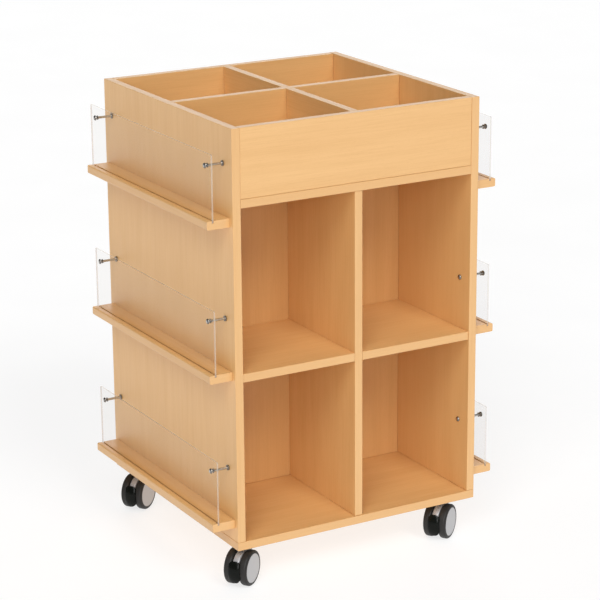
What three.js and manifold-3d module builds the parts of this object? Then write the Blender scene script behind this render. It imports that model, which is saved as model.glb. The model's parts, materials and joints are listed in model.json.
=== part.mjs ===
// Mobile book display stand: a board carcass on four twin-wheel swivel casters.
// A divided trough for picture books sits on top, open compartments with one shelf each face the
// front and the rear, and each side panel carries three display ledges with clear guards.
// Millimetres. X runs to the right along the front, Y to the rear, Z up from the floor, and the
// origin is on the floor under the middle of the carcass.
import * as THREE from 'three';
import { mergeVertices } from 'three/addons/utils/BufferGeometryUtils.js';
import Module from 'manifold-3d';

const wasm = await Module();
wasm.setup();

// ---- Driving dimensions -------------------------------------------------------------------
const BOARD = 19; // thickness of every board
const GAP = 0.3; // clearance between neighbouring pieces
const CARCASS_WIDTH = 612;
const CARCASS_DEPTH = 612;
const CARCASS_HEIGHT = 935; // underside of the base to the rim of the trough
const CASTER_HEIGHT = 92; // floor to the underside of the base
const TROUGH_DEPTH = 152; // rim of the trough to its floor
const TROUGH_PANEL_RECESS = 1; // behind the side panels' edges
const SHELF_RECESS = 2; // compartment shelves behind the side panels' edges

const LEDGE_PROJECTION = 54; // how far a display ledge stands out from its side panel
const LEDGE_END_INSET = 13; // from the side panel's front and rear edges
const LEDGE_EDGE_RADIUS = 3;
const LOWEST_LEDGE = 69; // top of the lowest ledge above the underside of the base
const LEDGE_SPACING = 337;
const LEDGE_LEVELS = ['bottom', 'middle', 'top'];

const GUARD_THICKNESS = 4;
const GUARD_HEIGHT = 140; // above the ledge
const GUARD_EDGE_DISTANCE = 12; // guard's outer face to the ledge's outer edge
const GUARD_END_INSET = 0.5; // guard's ends to the ledge's ends
const GUARD_CORNER_RADIUS = 3;
const GROOVE_DEPTH = 5;

const STANDOFF_END_DISTANCE = 26; // stand-off axis to the ledge's end
const STANDOFF_TOP_DISTANCE = 27; // stand-off axis to the guard's top edge
const STANDOFF_HEAD_RADIUS = 6;
const STANDOFF_ROD_RADIUS = 2.8;
const STANDOFF_HOLE_RADIUS = 3.3;
const STANDOFF_SIDES = 10;

const CASTER_INSET = 48; // swivel axis to the carcass's outer faces
const CASTER_TURN = THREE.MathUtils.degToRad(215.7); // trailing direction, turned from +X
const CASTER_TRAIL = 28; // swivel axis to axle
const WHEEL_RADIUS = 40;
const WHEEL_WIDTH = 19;
const WHEEL_PITCH = 36; // centre to centre of a caster's two wheels
const WHEEL_SIDES = 20;
const AXLE_RADIUS = 4;
const KINGPIN_RADIUS = 4;
const BORE_CLEARANCE = 0.3;

// ---- Places worked out from them ----------------------------------------------------------
const HALF_BOARD = BOARD / 2;
const OUTER_X = CARCASS_WIDTH / 2;
const OUTER_Y = CARCASS_DEPTH / 2;
const INNER_X = OUTER_X - BOARD;
const INNER_Y = OUTER_Y - BOARD;
const RIM_Z = CASTER_HEIGHT + CARCASS_HEIGHT;
const BASE_TOP = CASTER_HEIGHT + BOARD;
const TROUGH_FLOOR_TOP = RIM_Z - TROUGH_DEPTH;
const TROUGH_FLOOR_UNDERSIDE = TROUGH_FLOOR_TOP - BOARD;
const COMPARTMENT_MIDDLE = (BASE_TOP + TROUGH_FLOOR_UNDERSIDE) / 2;
const LEDGE_OUTER = OUTER_X + LEDGE_PROJECTION;
const LEDGE_HALF_LENGTH = OUTER_Y - LEDGE_END_INSET;
const GUARD_OUTER = LEDGE_OUTER - GUARD_EDGE_DISTANCE;
const GUARD_INNER = GUARD_OUTER - GUARD_THICKNESS;
const GUARD_HALF_LENGTH = LEDGE_HALF_LENGTH - GUARD_END_INSET;
const STANDOFF_Y = LEDGE_HALF_LENGTH - STANDOFF_END_DISTANCE;
const STANDOFF_RISE = GUARD_HEIGHT - STANDOFF_TOP_DISTANCE;

const ledgeTop = (level) => CASTER_HEIGHT + LOWEST_LEDGE + LEDGE_SPACING * LEDGE_LEVELS.indexOf(level);

// ---- Materials ----------------------------------------------------------------------------
const beech = new THREE.MeshStandardMaterial({ color: 0xdcab76, roughness: 0.5, metalness: 0 });
const acrylic = new THREE.MeshStandardMaterial({
  color: 0xe8eeee,
  roughness: 0.08,
  metalness: 0,
  transparent: true,
  opacity: 0.3,
});
const steel = new THREE.MeshStandardMaterial({ color: 0xb9b4ac, roughness: 0.3, metalness: 1 });
const silverPaint = new THREE.MeshStandardMaterial({ color: 0xc3c3c6, roughness: 0.4, metalness: 0.5 });
const blackPlastic = new THREE.MeshStandardMaterial({ color: 0x1c1d1c, roughness: 0.35, metalness: 0 });
const tyreBlack = new THREE.MeshStandardMaterial({ color: 0x2b2a28, roughness: 0.6, metalness: 0 });

// ---- Shared helpers -----------------------------------------------------------------------
const stand = new THREE.Group();

function addPiece(name, geometry, material, parent = stand) {
  const mesh = new THREE.Mesh(geometry, material);
  mesh.name = name;
  parent.add(mesh);
  return mesh;
}

// A board filling the box between a low and a high value on each axis.
function addBoard(name, x, y, z) {
  const geometry = new THREE.BoxGeometry(x[1] - x[0], y[1] - y[0], z[1] - z[0]);
  geometry.translate((x[0] + x[1]) / 2, (y[0] + y[1]) / 2, (z[0] + z[1]) / 2);
  return addPiece(name, geometry, beech);
}

// The same low and high value on the other side of the origin when side is -1.
function onSide(side, low, high) {
  return side < 0 ? [-high, -low] : [low, high];
}

function addRoundHole(shape, x, y, radius, sides) {
  const hole = new THREE.Path();
  for (let i = 0; i < sides; i += 1) {
    const angle = (2 * Math.PI * i) / sides;
    hole[i === 0 ? 'moveTo' : 'lineTo'](x + radius * Math.cos(angle), y + radius * Math.sin(angle));
  }
  hole.closePath();
  shape.holes.push(hole);
}

function extrusion(shape, depth, curveSegments = 4) {
  return new THREE.ExtrudeGeometry(shape, { depth, bevelEnabled: false, curveSegments });
}

// A plate whose outline is drawn in Y and Z and which fills x[0] to x[1].
function extrudeAlongX(shape, x) {
  const geometry = extrusion(shape, x[1] - x[0]);
  geometry.rotateX(Math.PI / 2);
  geometry.rotateZ(Math.PI / 2);
  return geometry.translate(x[0], 0, 0);
}

// A bar whose section is drawn in X and Z and which fills -halfLength to halfLength along Y.
function extrudeAlongY(shape, halfLength, arcSteps) {
  const geometry = extrusion(shape, 2 * halfLength, arcSteps);
  geometry.rotateX(Math.PI / 2);
  return geometry.translate(0, halfLength, 0);
}

// A turned solid about the Y axis from pairs of axial place and radius, given in axial order.
function turned(profile, sides) {
  return new THREE.LatheGeometry(profile.map(([place, radius]) => new THREE.Vector2(radius, place)), sides);
}

function solidOf(geometry) {
  const bare = geometry.clone();
  bare.deleteAttribute('normal');
  bare.deleteAttribute('uv');
  const merged = mergeVertices(bare, 1e-4);
  return new wasm.Manifold(
    new wasm.Mesh({
      numProp: 3,
      vertProperties: new Float32Array(merged.attributes.position.array),
      triVerts: new Uint32Array(merged.index.array),
    }),
  );
}

function geometryOf(solid) {
  const mesh = solid.getMesh();
  const geometry = new THREE.BufferGeometry();
  geometry.setAttribute('position', new THREE.BufferAttribute(mesh.vertProperties, 3));
  geometry.setIndex(new THREE.BufferAttribute(mesh.triVerts, 1));
  geometry.computeVertexNormals();
  return geometry;
}

function joined(...geometries) {
  return geometries.map(solidOf).reduce((whole, piece) => whole.add(piece));
}

// A cylinder along Z between two heights.
function uprightCylinder(radius, low, high, sides) {
  const geometry = new THREE.CylinderGeometry(radius, radius, high - low, sides);
  geometry.rotateX(Math.PI / 2);
  return geometry.translate(0, 0, (low + high) / 2);
}

// ---- Carcass ------------------------------------------------------------------------------
function addSidePanel(name, side) {
  const outline = new THREE.Shape();
  outline.moveTo(-OUTER_Y, BASE_TOP + GAP);
  outline.lineTo(OUTER_Y, BASE_TOP + GAP);
  outline.lineTo(OUTER_Y, RIM_Z);
  outline.lineTo(-OUTER_Y, RIM_Z);
  outline.closePath();
  for (const level of LEDGE_LEVELS) {
    for (const y of [-STANDOFF_Y, STANDOFF_Y]) {
      addRoundHole(outline, y, ledgeTop(level) + STANDOFF_RISE, STANDOFF_HOLE_RADIUS, STANDOFF_SIDES);
    }
  }
  addPiece(name, extrudeAlongX(outline, onSide(side, INNER_X, OUTER_X)), beech);
}

function addCarcass() {
  const betweenSides = [-INNER_X + GAP, INNER_X - GAP];
  const wallThickness = [-HALF_BOARD, HALF_BOARD];
  const compartmentHeight = [BASE_TOP + GAP, TROUGH_FLOOR_UNDERSIDE - GAP];
  addBoard('base_panel', [-OUTER_X, OUTER_X], [-OUTER_Y, OUTER_Y], [CASTER_HEIGHT, BASE_TOP]);
  addSidePanel('side_panel_left', -1);
  addSidePanel('side_panel_right', 1);
  addBoard('trough_floor', betweenSides, [-OUTER_Y, OUTER_Y], [TROUGH_FLOOR_UNDERSIDE, TROUGH_FLOOR_TOP]);
  addBoard('middle_wall', betweenSides, wallThickness, compartmentHeight);
  for (const [end, side] of [['front', -1], ['rear', 1]]) {
    const depth = onSide(side, HALF_BOARD + GAP, OUTER_Y - SHELF_RECESS);
    addBoard(`divider_${end}`, wallThickness, depth, compartmentHeight);
    addCompartmentShelf(`compartment_shelf_${end}_left`, -1, depth);
    addCompartmentShelf(`compartment_shelf_${end}_right`, 1, depth);
  }
}

function addCompartmentShelf(name, side, depth) {
  const width = onSide(side, HALF_BOARD + GAP, INNER_X - GAP);
  addBoard(name, width, depth, [COMPARTMENT_MIDDLE - HALF_BOARD, COMPARTMENT_MIDDLE + HALF_BOARD]);
}

// ---- Trough -------------------------------------------------------------------------------
function addTrough() {
  const betweenSides = [-INNER_X + GAP, INNER_X - GAP];
  const wallThickness = [-HALF_BOARD, HALF_BOARD];
  const height = [TROUGH_FLOOR_TOP + GAP, RIM_Z];
  addBoard('trough_divider_long', betweenSides, wallThickness, height);
  for (const [end, side] of [['front', -1], ['rear', 1]]) {
    const panel = onSide(side, INNER_Y - TROUGH_PANEL_RECESS, OUTER_Y - TROUGH_PANEL_RECESS);
    const divider = onSide(side, HALF_BOARD + GAP, INNER_Y - TROUGH_PANEL_RECESS - GAP);
    addBoard(`trough_panel_${end}`, betweenSides, panel, height);
    addBoard(`trough_divider_${end}`, wallThickness, divider, height);
  }
}

// ---- Display ledges, guards and stand-offs ------------------------------------------------
// A ledge's section: rounded along its outer edge, with a groove that holds the guard's foot.
function ledgeSection(side, top) {
  const inner = OUTER_X + GAP;
  const underside = top - BOARD;
  const grooveFloor = top - GROOVE_DEPTH - GAP;
  const section = new THREE.Shape();
  const point = (x, z) => [side * x, z];
  const corner = (z) => point(LEDGE_OUTER, z);
  section.moveTo(...point(inner, underside));
  section.lineTo(...point(LEDGE_OUTER - LEDGE_EDGE_RADIUS, underside));
  section.quadraticCurveTo(...corner(underside), ...corner(underside + LEDGE_EDGE_RADIUS));
  section.lineTo(...corner(top - LEDGE_EDGE_RADIUS));
  section.quadraticCurveTo(...corner(top), ...point(LEDGE_OUTER - LEDGE_EDGE_RADIUS, top));
  section.lineTo(...point(GUARD_OUTER + GAP, top));
  section.lineTo(...point(GUARD_OUTER + GAP, grooveFloor));
  section.lineTo(...point(GUARD_INNER - GAP, grooveFloor));
  section.lineTo(...point(GUARD_INNER - GAP, top));
  section.lineTo(...point(inner, top));
  section.closePath();
  return section;
}

function guardOutline(top) {
  const foot = top - GROOVE_DEPTH;
  const head = top + GUARD_HEIGHT;
  const end = GUARD_HALF_LENGTH;
  const radius = GUARD_CORNER_RADIUS;
  const outline = new THREE.Shape();
  outline.moveTo(-end, foot);
  outline.lineTo(end, foot);
  outline.lineTo(end, head - radius);
  outline.absarc(end - radius, head - radius, radius, 0, Math.PI / 2, false);
  outline.absarc(-end + radius, head - radius, radius, Math.PI / 2, Math.PI, false);
  outline.closePath();
  for (const y of [-STANDOFF_Y, STANDOFF_Y]) {
    addRoundHole(outline, y, top + STANDOFF_RISE, STANDOFF_HOLE_RADIUS, STANDOFF_SIDES);
  }
  return outline;
}

// A stand-off, from the cap nut inside the carcass to the domed head outside the guard. Places
// are distances from the middle plane of the stand.
const STANDOFF_PROFILE = (() => {
  const nut = 5;
  const collar = 3;
  const washer = 1.5;
  const washerRadius = 5;
  const head = 4;
  const dome = 0.7;
  const wide = STANDOFF_HEAD_RADIUS;
  const rod = STANDOFF_ROD_RADIUS;
  return [
    [INNER_X - GAP - nut, 0],
    [INNER_X - GAP - nut, wide * dome],
    [INNER_X - GAP - nut / 2, wide],
    [INNER_X - GAP, wide],
    [INNER_X - GAP, rod],
    [OUTER_X + GAP, rod],
    [OUTER_X + GAP, wide],
    [OUTER_X + GAP + collar, wide],
    [OUTER_X + GAP + collar, rod],
    [GUARD_INNER - GAP - washer, rod],
    [GUARD_INNER - GAP - washer, washerRadius],
    [GUARD_INNER - GAP, washerRadius],
    [GUARD_INNER - GAP, rod],
    [GUARD_OUTER + GAP, rod],
    [GUARD_OUTER + GAP, wide],
    [GUARD_OUTER + GAP + head / 2, wide],
    [GUARD_OUTER + GAP + head, wide * dome],
    [GUARD_OUTER + GAP + head, 0],
  ];
})();

function addDisplaySide(sideName, side) {
  for (const level of LEDGE_LEVELS) {
    const top = ledgeTop(level);
    const ledge = extrudeAlongY(ledgeSection(side, top), LEDGE_HALF_LENGTH);
    addPiece(`display_ledge_${sideName}_${level}`, ledge, beech);
    addPiece(
      `guard_${sideName}_${level}`,
      extrudeAlongX(guardOutline(top), onSide(side, GUARD_INNER, GUARD_OUTER)),
      acrylic,
    );
    for (const [end, y] of [['front', -STANDOFF_Y], ['rear', STANDOFF_Y]]) {
      const standoff = addPiece(
        `standoff_${sideName}_${level}_${end}`,
        turned(STANDOFF_PROFILE, STANDOFF_SIDES),
        steel,
      );
      standoff.rotation.z = (-side * Math.PI) / 2;
      standoff.position.set(0, y, top + STANDOFF_RISE);
    }
  }
}

// ---- Casters ------------------------------------------------------------------------------
// A caster is drawn about its swivel axis, trailing along +X, with its axle along Y.
const PLATE_SIZE = 56;
const PLATE_CORNER = 6;
const PLATE_THICKNESS = 3;
const PLATE_HOLE_SPACING = 42;
const PLATE_HOLE_RADIUS = 2.6;
const PLATE_TOP = CASTER_HEIGHT - GAP;
const PLATE_UNDERSIDE = PLATE_TOP - PLATE_THICKNESS;
const PLATE_MIDDLE = PLATE_TOP - PLATE_THICKNESS / 2;
const RACE_RADIUS = 16;
const RACE_UNDERSIDE = 85;
const FLANGE_TOP = RACE_UNDERSIDE - GAP;
const FLANGE_UNDERSIDE = 2 * WHEEL_RADIUS + 1.5; // clear of the wheels' tops
const KINGPIN_END = 52;
const BODY_HALF_THICKNESS = 7.5;
const PEDAL_HALF_THICKNESS = 7;
const WHEEL_INNER_FACE = (WHEEL_PITCH - WHEEL_WIDTH) / 2;
const AXLE_BORE_DEPTH = 13;
const ROUND_SIDES = 16;
const SCREW_HOLE_SIDES = 8;
const ARC_STEPS = 8;

// A rectangle about the origin with round corners.
function roundedRectangle(width, height, corner) {
  const x = width / 2 - corner;
  const y = height / 2 - corner;
  const outline = new THREE.Shape();
  outline.absarc(x, y, corner, 0, Math.PI / 2, false);
  outline.absarc(-x, y, corner, Math.PI / 2, Math.PI, false);
  outline.absarc(-x, -y, corner, Math.PI, Math.PI * 1.5, false);
  outline.absarc(x, -y, corner, Math.PI * 1.5, Math.PI * 2, false);
  outline.closePath();
  return outline;
}

function addPlate(name, parent) {
  const outline = roundedRectangle(PLATE_SIZE, PLATE_SIZE, PLATE_CORNER);
  for (const x of [-PLATE_HOLE_SPACING / 2, PLATE_HOLE_SPACING / 2]) {
    for (const y of [-PLATE_HOLE_SPACING / 2, PLATE_HOLE_SPACING / 2]) {
      addRoundHole(outline, x, y, PLATE_HOLE_RADIUS, SCREW_HOLE_SIDES);
    }
  }
  const plate = extrusion(outline, PLATE_THICKNESS);
  plate.translate(0, 0, PLATE_UNDERSIDE);
  const race = uprightCylinder(RACE_RADIUS, RACE_UNDERSIDE, PLATE_MIDDLE, ROUND_SIDES);
  const kingpin = uprightCylinder(KINGPIN_RADIUS, KINGPIN_END, PLATE_MIDDLE, ROUND_SIDES);
  addPiece(name, geometryOf(joined(plate, race, kingpin)), steel, parent);
}

// Point on a circle about the axle, in the caster's X and Z.
function aboutAxle(radius, degrees) {
  const angle = THREE.MathUtils.degToRad(degrees);
  return [CASTER_TRAIL + radius * Math.cos(angle), WHEEL_RADIUS + radius * Math.sin(angle)];
}

function arcAboutAxle(shape, radius, from, to) {
  const [start, end] = [from, to].map(THREE.MathUtils.degToRad);
  shape.absarc(CASTER_TRAIL, WHEEL_RADIUS, radius, start, end, to < from);
}

const FULL_TURN = 360;
const BOSS_RADIUS = 14;
const HOOD_RADIUS = WHEEL_RADIUS - 3;
const HOOD_END_ANGLE = 30; // lower end of the hood on the trailing side
const HOOD_CROWN_ANGLE = 100;
const COLUMN_HALF_WIDTH = 10;
const COLUMN_BOTTOM = 46;
const COLUMN_CHAMFER = 4;
const COLUMN_SHOULDER = 2;
const BOSS_MEETS_COLUMN_ANGLE = 200;
const WEB_TOP = FLANGE_TOP - 1;

function addHousing(name, parent) {
  const side = new THREE.Shape();
  side.moveTo(COLUMN_HALF_WIDTH + COLUMN_SHOULDER, WEB_TOP);
  side.lineTo(-COLUMN_HALF_WIDTH, WEB_TOP);
  side.lineTo(-COLUMN_HALF_WIDTH, COLUMN_BOTTOM + COLUMN_CHAMFER);
  side.lineTo(COLUMN_CHAMFER - COLUMN_HALF_WIDTH, COLUMN_BOTTOM);
  side.lineTo(...aboutAxle(BOSS_RADIUS, BOSS_MEETS_COLUMN_ANGLE));
  arcAboutAxle(side, BOSS_RADIUS, BOSS_MEETS_COLUMN_ANGLE, FULL_TURN + HOOD_END_ANGLE);
  side.lineTo(...aboutAxle(HOOD_RADIUS, HOOD_END_ANGLE));
  arcAboutAxle(side, HOOD_RADIUS, HOOD_END_ANGLE, HOOD_CROWN_ANGLE);
  side.closePath();
  const web = extrudeAlongY(side, BODY_HALF_THICKNESS, ARC_STEPS);
  const flange = uprightCylinder(RACE_RADIUS, FLANGE_UNDERSIDE, FLANGE_TOP, ROUND_SIDES);
  const axleLength = 2 * (WHEEL_INNER_FACE + AXLE_BORE_DEPTH - GAP);
  const axle = new THREE.CylinderGeometry(AXLE_RADIUS, AXLE_RADIUS, axleLength, ROUND_SIDES);
  axle.translate(CASTER_TRAIL, 0, WHEEL_RADIUS);
  const boreRadius = KINGPIN_RADIUS + BORE_CLEARANCE;
  const bore = uprightCylinder(boreRadius, KINGPIN_END - GAP, CASTER_HEIGHT, ROUND_SIDES);
  addPiece(name, geometryOf(joined(web, flange, axle).subtract(solidOf(bore))), silverPaint, parent);
}

// The brake pedal wraps round the housing's boss and swings about the axle. Its arm runs out
// between the wheels to a wider foot piece with round corners that stands outside their treads.
const PEDAL_BORE_RADIUS = BOSS_RADIUS + 0.5; // runs on the boss
const PEDAL_FOOT_INNER = WHEEL_RADIUS + 1.5;
const PEDAL_FOOT_OUTER = WHEEL_RADIUS + 6;
const PEDAL_FOOT_HALF_WIDTH = 14;
const PEDAL_ARM_RADIUS = PEDAL_FOOT_INNER + 1; // runs into the foot piece
const PEDAL_FOOT_CORNER = 11;
const PEDAL_FOOT_TOP_ANGLE = 36;
const PEDAL_ARM_TOP_ANGLE = 27; // below the hood
const PEDAL_TOE_ANGLE = -33;
const PEDAL_HOOK_RADIUS = 19.5;
const PEDAL_HOOK_ANGLE = -142; // clear of the column when the pedal is pressed
const PEDAL_HOOK_ROOT_ANGLE = -75;

function addBrakePedal(name, parent) {
  const side = new THREE.Shape();
  side.moveTo(...aboutAxle(PEDAL_ARM_RADIUS, PEDAL_TOE_ANGLE));
  arcAboutAxle(side, PEDAL_ARM_RADIUS, PEDAL_TOE_ANGLE, PEDAL_ARM_TOP_ANGLE);
  side.lineTo(...aboutAxle(PEDAL_BORE_RADIUS, PEDAL_ARM_TOP_ANGLE));
  arcAboutAxle(side, PEDAL_BORE_RADIUS, PEDAL_ARM_TOP_ANGLE, PEDAL_HOOK_ANGLE);
  side.lineTo(...aboutAxle(PEDAL_HOOK_RADIUS, PEDAL_HOOK_ANGLE));
  arcAboutAxle(side, PEDAL_HOOK_RADIUS, PEDAL_HOOK_ANGLE, PEDAL_HOOK_ROOT_ANGLE);
  side.closePath();
  const arm = extrudeAlongY(side, PEDAL_HALF_THICKNESS, ARC_STEPS);
  const sector = new THREE.Shape();
  sector.moveTo(...aboutAxle(PEDAL_FOOT_OUTER, PEDAL_TOE_ANGLE));
  arcAboutAxle(sector, PEDAL_FOOT_OUTER, PEDAL_TOE_ANGLE, PEDAL_FOOT_TOP_ANGLE);
  sector.lineTo(...aboutAxle(PEDAL_FOOT_INNER, PEDAL_FOOT_TOP_ANGLE));
  arcAboutAxle(sector, PEDAL_FOOT_INNER, PEDAL_FOOT_TOP_ANGLE, PEDAL_TOE_ANGLE);
  sector.closePath();
  const foot = extrudeAlongY(sector, PEDAL_FOOT_HALF_WIDTH, ARC_STEPS);
  const toe = aboutAxle(PEDAL_FOOT_OUTER, PEDAL_TOE_ANGLE)[1];
  const top = aboutAxle(PEDAL_FOOT_OUTER, PEDAL_FOOT_TOP_ANGLE)[1];
  const face = roundedRectangle(2 * PEDAL_FOOT_HALF_WIDTH, top - toe, PEDAL_FOOT_CORNER);
  const bar = extrudeAlongX(face, [CASTER_TRAIL, CASTER_TRAIL + PEDAL_FOOT_OUTER]);
  bar.translate(0, 0, (toe + top) / 2);
  const roundedFoot = solidOf(foot).intersect(solidOf(bar));
  addPiece(name, geometryOf(solidOf(arm).add(roundedFoot)), blackPlastic, parent);
}

// A wheel's section from its inner face to its outer face: a blind bore for the axle, a dished
// inner side, a tread with round shoulders, and a flat hub disc that fills the outer side.
function wheelProfile() {
  const bore = AXLE_RADIUS + BORE_CLEARANCE;
  const tread = WHEEL_RADIUS;
  const disc = WHEEL_RADIUS - 7;
  const shoulder = 5;
  const width = WHEEL_WIDTH;
  const dish = 2.5;
  const hub = 10;
  return [
    [AXLE_BORE_DEPTH, 0],
    [AXLE_BORE_DEPTH, bore],
    [0, bore],
    [0, hub],
    [dish, hub + 2],
    [dish, disc - 3],
    [0, disc],
    [shoulder / 3, tread - shoulder / 2],
    [shoulder, tread],
    [width - shoulder, tread],
    [width - shoulder / 3, tread - shoulder / 2],
    [width, disc],
    [width, 0],
  ];
}

function addWheel(name, side, parent) {
  const wheel = addPiece(name, turned(wheelProfile(), WHEEL_SIDES), tyreBlack, parent);
  wheel.position.set(CASTER_TRAIL, side * WHEEL_INNER_FACE, WHEEL_RADIUS);
  wheel.rotation.z = side > 0 ? 0 : Math.PI;
}

function addCaster(place, x, y) {
  const fixed = new THREE.Group();
  fixed.position.set(x, y, 0);
  stand.add(fixed);
  const swivelling = new THREE.Group();
  swivelling.rotation.z = CASTER_TURN;
  fixed.add(swivelling);
  addPlate(`caster_${place}_plate`, fixed);
  addHousing(`caster_${place}_housing`, swivelling);
  addWheel(`caster_${place}_wheel_left`, -1, swivelling);
  addWheel(`caster_${place}_wheel_right`, 1, swivelling);
  addBrakePedal(`caster_${place}_brake_pedal`, swivelling);
}

function addCasters() {
  const x = OUTER_X - CASTER_INSET;
  const y = OUTER_Y - CASTER_INSET;
  addCaster('front_left', -x, -y);
  addCaster('front_right', x, -y);
  addCaster('rear_left', -x, y);
  addCaster('rear_right', x, y);
}

// ---- The stand ----------------------------------------------------------------------------
addCarcass();
addTrough();
addDisplaySide('left', -1);
addDisplaySide('right', 1);
addCasters();

export default stand;
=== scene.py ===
import json
import math

import bmesh
import bpy
from mathutils import Matrix, Vector


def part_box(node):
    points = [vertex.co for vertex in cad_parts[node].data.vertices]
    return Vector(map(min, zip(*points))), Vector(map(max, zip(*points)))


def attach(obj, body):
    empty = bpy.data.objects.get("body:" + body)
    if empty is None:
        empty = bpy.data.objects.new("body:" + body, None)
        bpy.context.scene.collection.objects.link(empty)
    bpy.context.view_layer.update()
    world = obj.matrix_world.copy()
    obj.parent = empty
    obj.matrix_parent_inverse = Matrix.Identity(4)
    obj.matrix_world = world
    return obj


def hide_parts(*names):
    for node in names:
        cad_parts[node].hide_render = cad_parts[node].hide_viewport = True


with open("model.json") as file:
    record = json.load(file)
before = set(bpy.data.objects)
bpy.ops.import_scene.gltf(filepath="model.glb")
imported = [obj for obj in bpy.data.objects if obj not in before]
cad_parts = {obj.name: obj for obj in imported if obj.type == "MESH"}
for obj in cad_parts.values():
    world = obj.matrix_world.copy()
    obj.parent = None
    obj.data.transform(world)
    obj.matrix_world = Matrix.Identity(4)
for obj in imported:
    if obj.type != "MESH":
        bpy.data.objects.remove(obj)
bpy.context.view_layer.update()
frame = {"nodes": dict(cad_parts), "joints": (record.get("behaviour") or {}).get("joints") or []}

MM = 0.001

# ---- Driving dimensions ----------------------------------------------------------------------
CLEARANCE = 0.3 * MM
BOARD_EDGE_RADIUS = 1.0 * MM
EDGE_BAND_THICKNESS = 1.0 * MM
LEDGE_CORNER_RADIUS = 3.0 * MM
LEDGE_EDGE_RADIUS = 0.25 * MM
GUARD_CORNER_RADIUS = 3.0 * MM
GUARD_EDGE_RADIUS = 0.4 * MM
GROOVE_CLEARANCE = 0.05 * MM  # the guard's foot fits its groove closely

STANDOFF_HOLE_RADIUS = 3.3 * MM
STANDOFF_ROD_RADIUS = 2.8 * MM
STANDOFF_HEAD_RADIUS = 6.0 * MM
STANDOFF_WASHER_RADIUS = 5.0 * MM
STANDOFF_WASHER_THICKNESS = 1.5 * MM
STANDOFF_COLLAR_LENGTH = 3.0 * MM
STANDOFF_CORNER_RADIUS = 0.5 * MM
STANDOFF_SIDES = 32
STANDOFF_ROD_LIMIT = 1.05 * STANDOFF_ROD_RADIUS  # faces nearer the axis get the bright steel; faces farther out get the same steel with painted dark reflection

WHEEL_RADIUS = 40 * MM
WHEEL_WIDTH = 19 * MM
WHEEL_INNER_FACE = 8.5 * MM  # from the caster's middle plane
WHEEL_SIDES = 72
TYRE_SHOULDER = (5 * MM, 7 * MM)  # along the axle, and in radius
TYRE_SHOULDER_STEPS = 8
HUB_RADIUS = 10 * MM  # of the boss round the bore, on the wheel's inner face
HUB_RECESS_RADII = (12 * MM, 30 * MM)  # of the hollow round it
HUB_RECESS_DEPTH = 2.5 * MM
HUB_CORNER_RADIUS = 0.8 * MM
HUB_DISC_RADIUS = 32.6 * MM
HUB_DISC_THICKNESS = 1.2 * MM
HUB_DISC_GAP = 0.1 * MM  # behind the disc
HUB_DISC_DOME = 0.45 * MM  # height of its crown above its rim
HUB_DISC_DOME_STEPS = 8
HUB_DISC_CORNER_RADIUS = 0.4 * MM
AXLE_RADIUS = 4 * MM
AXLE_BORE_RADIUS = 4.3 * MM
AXLE_BORE_DEPTH = 13 * MM
AXLE_CORNER_RADIUS = 0.5 * MM
AXLE_SIDES = 24

BOSS_RADIUS = 14 * MM
BOSS_START_ANGLE = 200
BOSS_STEPS = 24
HOOD_RADIUS = 37 * MM
HOOD_HALF_THICKNESS = 7.5 * MM
HOOD_ANGLES = (30, 100)
HOOD_STEPS = 20
HOUSING_EDGE_RADIUS = 1.6 * MM
COLUMN_HALF_WIDTH = 10 * MM
COLUMN_BOTTOM = 46 * MM
COLUMN_SHOULDER = 2 * MM
COLUMN_CHAMFER = 4 * MM
WEB_TOP = 83.7 * MM
FLANGE_RADIUS = 16 * MM
FLANGE_HEIGHTS = (81.5 * MM, 84.7 * MM)
FLANGE_CORNER_RADIUS = 0.6 * MM
FLANGE_SIDES = 40
KINGPIN_BORE_RADIUS = 4.3 * MM
KINGPIN_BORE_BOTTOM = 51.7 * MM

PEDAL_BORE_RADIUS = 14.5 * MM
PEDAL_WEB_HALF_THICKNESS = 7 * MM  # between the wheels
PEDAL_WEB_EDGE_RADIUS = 1.2 * MM
PEDAL_WEB_OVERLAP = 0.5 * MM  # the arm reaches this far into the foot piece
PEDAL_FOOT_RADII = (41.5 * MM, 46 * MM)  # the foot piece, outside the wheels' treads
PEDAL_FOOT_HALF_WIDTH = 14 * MM
PEDAL_FOOT_CORNER = 11 * MM
PEDAL_FOOT_CROWN = 4 * MM  # how much lower the foot piece's sides are than its middle
PEDAL_FOOT_SECTIONS = 16
PEDAL_FOOT_TOP_ANGLE = 36
PEDAL_ARM_TOP_ANGLE = 26  # below the hood
PEDAL_TOE_ANGLE = -33
PEDAL_ARM_TOE_ANGLE = PEDAL_TOE_ANGLE + 4
PEDAL_FOOT_BEVEL_ANGLE = 1  # between the foot piece's outer and inner ends
PEDAL_HOOK_RADIUS = 19.5 * MM
PEDAL_HOOK_ANGLES = (-142, -75)
PEDAL_ARC_STEPS = (20, 32, 10)  # along the arm's outer end, round the bore and along the hook
PEDAL_FOOT_STEPS = 24  # along the foot piece, from toe to top

PLATE_THICKNESS = 3 * MM
PLATE_EDGE_RADIUS = 0.6 * MM
SCREW_HEAD_RADIUS = 4.6 * MM
SCREW_HEAD_HEIGHT = 2.2 * MM
SCREW_SPACING = 42 * MM
SCREW_SIDES = 20

FILLET_SHARE = 0.45  # the most of a side that one rounded corner takes
ARC_STEPS = 6  # in a quarter turn of a small corner or dome
HOLE_SIDES = 24
SHARP_ANGLE = math.radians(40)  # edges sharper than this are shaded sharp
BEVEL_ANGLE = math.radians(32)  # and sharper than this are rounded
FLAT = 0.9  # a face lies across an axis if its unit normal has more than this along it
MERGE_DISTANCE = 0.01 * MM  # CAD corners closer than this are one
MERGE_ANGLE = math.radians(1)  # and CAD faces flatter than this are one
GRAIN_SHIFT = (1.37, 0.83, 0.41)  # from one board's pattern to the next board's
FIRST_LEDGE_NUMBER = 40  # the ledges' patterns come after the boards'

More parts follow.
